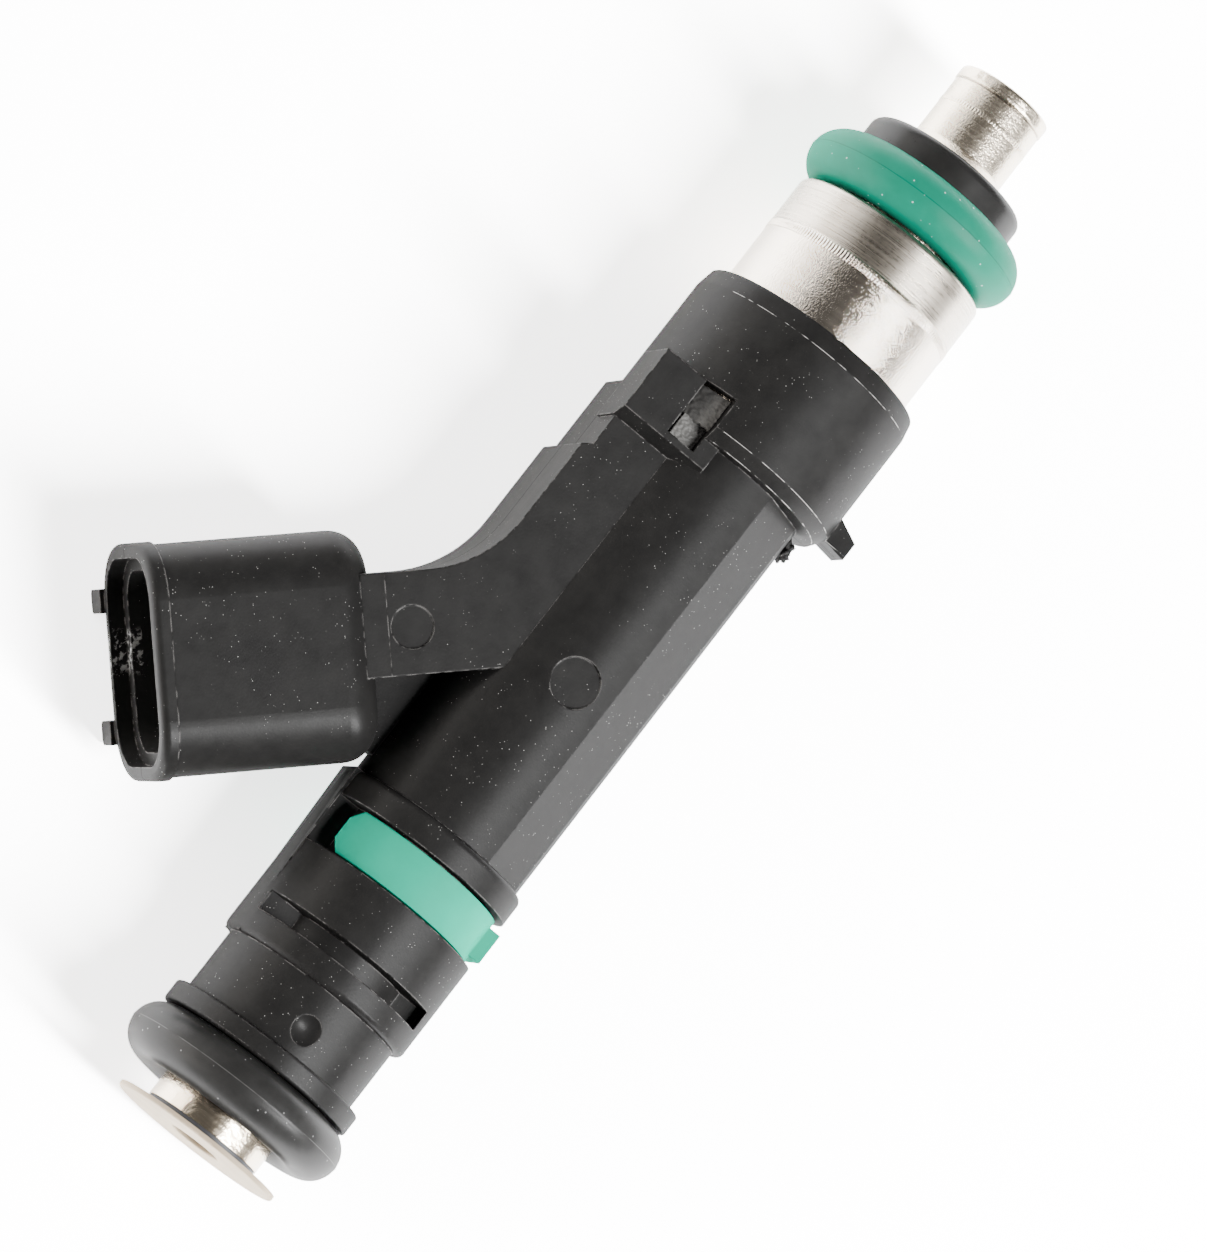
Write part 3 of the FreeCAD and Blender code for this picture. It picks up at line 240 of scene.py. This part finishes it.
def seal(name, look):
    pen = newMaterial(name)
    x, y, z = pen.axes()
    soft = pen.grain(700, 4, 0.6)
    fine = pen.grain(12000, 2, 0.6)
    dust = pen.ramp(pen.cells(1700), 0.12, 0.05) * pen.ramp(pen.grain(900, 1), 0.5, 0.57)
    outside = (y * y + z * z) ** 0.5 > look["outside"]
    equator = (pen.ramp(abs(x + look["centre"]), look["lineEdge"], look["lineCore"]) * outside
               * pen.ramp(pen.grain(500, 2), 0.38, 0.5))
    tone = pen.blend(soft, look["dark"], look["light"])
    tone = pen.blend(equator * 0.6, tone, look["line"])
    tone = pen.blend(dust * look["dustShare"], tone, look["dust"])
    rough = look["roughness"] + (soft - 0.5) * 0.2
    surface = pen.bump(fine * 0.5 + soft * 0.6 + dust + equator, 0.25, relief["seal"])
    return pen.satin(look["shine"], {"Base Color": tone, "Roughness": rough, "Normal": surface})


def mouldedPlastic(name, look):
    pen = newMaterial(name)
    soft = pen.grain(500, 3, 0.55)
    fine = pen.grain(8000, 2, 0.6)
    tone = pen.blend(soft, look["dark"], look["light"])
    rough = look["roughness"] + (soft - 0.5) * 0.12 + (fine - 0.5) * 0.08
    surface = pen.bump(fine * 0.4 + soft * 0.6, 0.2, relief["plastic"], pen.bevel(look["edge"]))
    return pen.satin(look["shine"], {"Base Color": tone, "Roughness": rough, "Normal": surface})


relief = {"steel": 0.02 * mm, "seal": 0.04 * mm, "plastic": 0.03 * mm}
steelLooks = {
    "machined": {"dark": (0.1, 0.087, 0.07), "light": (0.6, 0.54, 0.46), "pit": (0.2, 0.18, 0.15),
                 "lines": 11000, "peel": 3500, "pits": 2600, "roughness": 0.3, "swing": 0.34,
                 "cut": 1.3, "orange": 0.4, "edge": 0.1 * mm},
    "shell": {"dark": (0.38, 0.335, 0.28), "light": (0.74, 0.665, 0.575), "pit": (0.22, 0.19, 0.16),
              "lines": 3000, "peel": 8500, "pits": 5200, "roughness": 0.16, "swing": 0.1,
              "cut": 0.2, "orange": 3.2, "edge": 0.1 * mm},
    "tip": {"dark": (0.38, 0.325, 0.25), "light": (0.76, 0.675, 0.55), "pit": (0.14, 0.115, 0.09),
            "lines": 6000, "peel": 6500, "pits": 4600, "roughness": 0.26, "swing": 0.15,
            "cut": 0.5, "orange": 2.6, "edge": 0.07 * mm,
            "groove": 0.9 * mm, "grooveEdge": 0.07 * mm, "grooveFloor": 0.03 * mm},
    "inlet": {"dark": (0.34, 0.27, 0.19), "light": (0.74, 0.65, 0.52), "pit": (0.2, 0.15, 0.1),
              "lines": 2500, "peel": 2600, "pits": 2400, "roughness": 0.2, "swing": 0.2,
              "cut": 0.4, "orange": 2.6, "edge": 0.05 * mm},
    "inner": {"dark": (0.42, 0.41, 0.39), "light": (0.66, 0.65, 0.62), "pit": (0.3, 0.29, 0.27),
              "lines": 6000, "peel": 3000, "pits": 3000, "roughness": 0.3, "swing": 0.15,
              "cut": 0.6, "orange": 0.4, "edge": 0.05 * mm},
    "tin": {"dark": (0.58, 0.58, 0.56), "light": (0.76, 0.76, 0.74), "pit": (0.4, 0.4, 0.38),
            "lines": 2500, "peel": 2500, "pits": 2600, "roughness": 0.33, "swing": 0.1,
            "cut": 0.4, "orange": 0.4, "edge": 0.05 * mm},
    "copper": {"dark": (0.42, 0.13, 0.05), "light": (0.75, 0.32, 0.16), "pit": (0.3, 0.1, 0.04),
               "lines": 7000, "peel": 2500, "pits": 2600, "roughness": 0.32, "swing": 0.2,
               "cut": 1.5, "orange": 0.2, "edge": 0.05 * mm},
}
sealLooks = {
    "sealGreen": {"dark": (0.0, 0.098, 0.059), "light": (0.002, 0.125, 0.08), "dust": (0.5, 0.6, 0.56),
                  "line": (0.0, 0.045, 0.03), "dustShare": 0.6, "roughness": 0.45, "shine": 0.16,
                  "centre": 9.13 * mm},
    "sealBlack": {"dark": (0.008, 0.0079, 0.0077), "light": (0.017, 0.0167, 0.0163),
                  "dust": (0.25, 0.25, 0.25), "line": (0.06, 0.06, 0.058), "dustShare": 0.5,
                  "roughness": 0.36, "shine": 0.24, "centre": 73.5 * mm},
}
for look in sealLooks.values():
    look.update({"lineEdge": 0.04 * mm, "lineCore": 0.015 * mm, "outside": 6.6 * mm})
plasticLooks = {
    "clip": {"dark": (0.0, 0.2, 0.125), "light": (0.0, 0.25, 0.16), "roughness": 0.4, "edge": 0.12 * mm,
             "shine": 0.03},
    "retainer": {"dark": (0.006, 0.006, 0.006), "light": (0.014, 0.0135, 0.013), "roughness": 0.3,
                 "edge": 0.1 * mm, "shine": 0.24},
    "bobbin": {"dark": (0.3, 0.2, 0.1), "light": (0.42, 0.3, 0.17), "roughness": 0.45, "edge": 0.05 * mm,
               "shine": 0.3},
    "filter": {"dark": (0.02, 0.02, 0.022), "light": (0.05, 0.05, 0.052), "roughness": 0.4, "edge": 0.05 * mm,
               "shine": 0.3},
    "cap": {"dark": (0.2, 0.155, 0.105), "light": (0.36, 0.295, 0.21), "roughness": 0.42, "edge": 0.06 * mm,
            "shine": 0.22},
    # The flash tone is light grey, partly painted light on the pocket's upward-facing floor
    "flash": {"dark": (0.02, 0.0195, 0.019), "light": (0.11, 0.108, 0.103), "roughness": 0.5,
              "edge": 0.03 * mm, "shine": 0.2},
}
finishes = {"nylonBlack": nylonBlack()}
finishes.update({name: turnedSteel(name + "Steel", look) for name, look in steelLooks.items()})
finishes.update({name: seal(name, look) for name, look in sealLooks.items()})
finishes.update({name: mouldedPlastic(name + "Plastic", look) for name, look in plasticLooks.items()})

wearing = {
    "overmould_body": "nylonBlack", "valve_body": "machined", "steel_shell": "shell", "nozzle_tube": "tip",
    "inlet_tube": "inlet", "filter_cap": "cap", "filter_mesh": "inner", "filter_basket": "filter",
    "backup_ring": "retainer", "nozzle_o_ring": "sealGreen", "inlet_o_ring": "sealBlack",
    "colour_clip": "clip", "coil_bobbin": "bobbin", "coil_winding": "copper", "terminal_a": "tin",
    "terminal_b": "tin",
}
for name, node in nodes.items():
    finish = finishes[wearing.get(name, "inner")]
    node.data.materials.clear()
    node.data.materials.append(finish)
print("finishes assigned:", len(finishes))


def newPiece(name, mesh, finish, body=mainBody):
    piece = bpy.data.objects.new(name, mesh)
    bpy.context.scene.collection.objects.link(piece)
    mesh.materials.append(finishes[finish])
    for face in mesh.polygons:
        face.use_smooth = True
    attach(piece, body)
    return piece


# Rows go around the axis, columns around the section
def wrapMesh(name, rows, columns, pointAt):
    mesh = bpy.data.meshes.new(name)
    points = [pointAt(row / rows, column / columns) for row in range(rows) for column in range(columns)]
    faces = []
    for row in range(rows):
        for column in range(columns):
            nextRow, nextColumn = (row + 1) % rows, (column + 1) % columns
            faces.append((row * columns + column, nextRow * columns + column,
                          nextRow * columns + nextColumn, row * columns + nextColumn))
    mesh.from_pydata(points, [], faces)
    mesh.validate()
    return mesh


def sealRing(name, nodeName, finish, seed):
    low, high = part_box(nodeName)
    ring = {"middle": (low.x + high.x) / 2, "section": (high.x - low.x) / 2, "outer": high.y,
            "flash": 0.045 * mm, "flashWidth": 0.09, "waver": 0.012 * mm, "around": 360, "across": 96}
    spread = ring["outer"] - ring["section"] - ring["flash"]

    def pointAt(turn, swing):
        angle, tilt = turn * math.tau, swing * math.tau
        lean = abs(math.remainder(tilt, math.tau))
        nibble = 0.6 + 0.4 * noise.noise(Vector((math.cos(angle) * 9 + seed, math.sin(angle) * 9, 0)))
        ridge = ring["flash"] * nibble * max(0.0, 1 - lean / ring["flashWidth"])
        waver = ring["waver"] * noise.noise(Vector((math.cos(angle) * 2, math.sin(angle) * 2, seed)))
        radius = spread + (ring["section"] + ridge) * math.cos(tilt) + waver
        return (ring["middle"] + ring["section"] * math.sin(tilt), radius * math.cos(angle),
                radius * math.sin(angle))

    piece = newPiece(name, wrapMesh(name, ring["around"], ring["across"], pointAt), finish)
    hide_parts(nodeName)


sealRing("nozzleSealRing", "nozzle_o_ring", "sealGreen", 3.1)
sealRing("inletSealRing", "inlet_o_ring", "sealBlack", 8.7)
print("seals made")


# A ridge of metal around a tube, rippled where a laser welded it; its foot is sunk into the tube
def weldBead(name, finish, bead):
    sunk, across = 0.03 * mm, 14

    def pointAt(turn, swing):
        angle, tilt = turn * math.tau, swing * math.tau
        side, rise = math.sin(tilt), math.cos(tilt)
        ripple = math.sin(bead["count"] * angle + 2.2 * side * side)
        uneven = noise.noise(Vector((math.cos(angle) * 6, math.sin(angle) * 6, side)))
        lift = bead["height"] * (0.45 + 0.35 * ripple + 0.3 * uneven) * max(rise, 0.0)
        radius = bead["radius"] + lift - sunk * (rise < 0)
        return (bead["middle"] + bead["width"] / 2 * side, radius * math.cos(angle), radius * math.sin(angle))

    newPiece(name, wrapMesh(name, bead["around"], across, pointAt), finish)


weldBead("shellWeld", "shell", {
    "middle": -14.58 * mm, "width": 0.62 * mm, "radius": 6.42 * mm, "height": 0.05 * mm, "count": 190,
    "around": 2280})
weldBead("tipRim", "tip", {
    "middle": -0.44 * mm, "width": 0.82 * mm, "radius": 3.0 * mm, "height": 0.12 * mm, "count": 0,
    "around": 240})
weldBead("tipWeld", "tip", {
    "middle": -2.35 * mm, "width": 0.32 * mm, "radius": 3.0 * mm, "height": 0.03 * mm, "count": 96,
    "around": 1152})


# Torn plastic left where the mould was filled
def tornNub():
    nub = {"middle": Vector((-29.15, -5.85, 0.5)) * mm, "size": Vector((0.7, 0.5, 0.7)) * mm,
           "coarse": 0.6, "fine": 0.3}
    bm = bmesh.new()
    bmesh.ops.create_icosphere(bm, subdivisions=4, radius=1.0)
    for vert in bm.verts:
        wild = 1 + nub["coarse"] * noise.noise(vert.co * 2.1) + nub["fine"] * noise.noise(vert.co * 5.3)
        vert.co = nub["middle"] + Vector([size * reach for size, reach in zip(nub["size"], vert.co * wild)])
    mesh = bpy.data.meshes.new("tornNub")
    bm.to_mesh(mesh)
    bm.free()
    newPiece("tornNub", mesh, "nylonBlack")


tornNub()


# Rough skin in the block's pocket: one sheet on the steel shell, one on the step below it. Its light grey
# tone is partly the skin's own and partly painted light on the pocket's upward-facing floor.
def pocketSkin(name, skin):
    rows, columns = 44, 34
    frayed, lumps, tucked = 0.12 * mm, 0.07 * mm, 0.25 * mm
    mesh = bpy.data.meshes.new(name)
    top, faces = [], []
    for row in range(rows):
        for column in range(columns):
            fromEnd, across = row / (rows - 1), column / (columns - 1)
            fray = frayed * noise.noise(Vector((row * 0.35, column * 0.35, skin["seed"])))
            x = skin["start"] + (skin["end"] - skin["start"]) * fromEnd + fray * (fromEnd in (0, 1))
            y = skin["near"] + (skin["far"] - skin["near"]) * across + fray * (across in (0, 1))
            level = math.sqrt(max(skin["radius"] ** 2 - y * y, 0)) if skin["radius"] else skin["level"]
            bumpy = noise.noise(Vector((row * 0.31, column * 0.31, skin["seed"] + 4)))
            atEdge = row in (0, rows - 1) or column in (0, columns - 1)
            level += lumps * bumpy - tucked * atEdge
            top.append((x, y, level))
    for row in range(rows - 1):
        for column in range(columns - 1):
            corner = row * columns + column
            faces.append((corner, corner + 1, corner + columns + 1, corner + columns))
    mesh.from_pydata(top, [], faces)
    newPiece(name, mesh, "flash")


pocketSkin("shellSkin", {"start": -27.6 * mm, "end": -25.5 * mm, "near": 2.85 * mm, "far": 4.86 * mm,
                         "radius": 6.78 * mm, "level": 0, "seed": 1.7, "slot": "shell_steel"})
pocketSkin("stepSkin", {"start": -29.15 * mm, "end": -27.5 * mm, "near": 2.85 * mm, "far": 4.6 * mm,
                        "radius": 0, "level": 5.35 * mm, "seed": 7.3, "slot": "nylon_black"})
print("welds, nub and pocket skins made")

# Camera, nearly overhead and a little rolled
view = {"target": Vector((-39.2, -0.37, 0)) * mm, "distance": 0.5, "lens": 249.4,
        "towards": Vector((-0.158, 0.188, 0.969)), "up": Vector((0.780, 0.6255, 0.006))}
camera = bpy.data.objects.new("camera", bpy.data.cameras.new("camera"))
bpy.context.scene.collection.objects.link(camera)
towards = view["towards"].normalized()
right = view["up"].cross(towards).normalized()
up = towards.cross(right)
turn = Matrix((right, up, towards)).transposed()
camera.matrix_world = Matrix.Translation(view["target"] + towards * view["distance"]) @ turn.to_4x4()
camera.data.lens = view["lens"]
camera.data.sensor_width = 36
camera.data.clip_start = 0.01
bpy.context.scene.camera = camera

# Floor and light
floorGap = 0.01 * mm
floorLevel = cadBox[0].z - floorGap
floorMesh = bpy.data.meshes.new("floor")
reach = 3.0
floorMesh.from_pydata([(-reach, -reach, floorLevel), (reach, -reach, floorLevel), (reach, reach, floorLevel),
                       (-reach, reach, floorLevel)], [], [(0, 1, 2, 3)])
floor = bpy.data.objects.new("floor", floorMesh)
bpy.context.scene.collection.objects.link(floor)
studio = {"paper": (3.2, 3.2, 3.23), "paperGlow": 2.6, "dome": 0.15, "horizon": 0.45, "domeStart": 0.55,
          "sky": (1, 0.99, 0.975)}
paper = newMaterial("paper")
shade = paper.blend(paper.grain(60, 2), [part * 0.97 for part in studio["paper"]], studio["paper"])
matte = paper.add("ShaderNodeBsdfDiffuse", None, {"Color": shade})
glow = paper.add("ShaderNodeEmission", None, {"Color": (1, 1, 1, 1), "Strength": studio["paperGlow"]})
floorMesh.materials.append(paper.toOutput(paper.add("ShaderNodeAddShader", None, {0: matte, 1: glow})))


# toward is how far to the view's right, to its top and to the camera
def softLight(name, toward, reach, size, radiance, tint=(1, 1, 1)):
    spot = view["target"] + (right * toward[0] + up * toward[1] + towards * toward[2]).normalized() * reach
    light = bpy.data.lights.new(name, "AREA")
    light.shape = "RECTANGLE"
    light.size, light.size_y = size
    light.energy = radiance * math.pi * size[0] * size[1]
    light.color = tint
    lamp = bpy.data.objects.new(name, light)
    bpy.context.scene.collection.objects.link(lamp)
    lamp.location = spot
    lamp.rotation_euler = (view["target"] - spot).to_track_quat("-Z", "Y").to_euler()


softLight("leftPanel", (-0.86, 0.35, 0.36), 0.75, (0.9, 0.5), 9.5, (1, 0.955, 0.9))
softLight("rightBox", (0.6, -0.46, 0.64), 0.7, (0.1, 0.5), 150.0)
softLight("topFill", (-0.2, 0.8, 0.5), 0.8, (0.5, 0.3), 3.0)

sky = board(bpy.data.worlds.new("studio"))
bpy.context.scene.world = sky.owner
direction = sky.add("ShaderNodeTexCoord", output="Generated")
height = sky.add("ShaderNodeSeparateXYZ", None, {0: direction}).part("Z")
strength = sky.ramp(height, 0.0, studio["domeStart"], studio["horizon"], studio["dome"])
background = sky.add("ShaderNodeBackground", None, {"Color": colour4(studio["sky"]), "Strength": strength})
sky.toOutput(background, "ShaderNodeOutputWorld")
print("stage set")
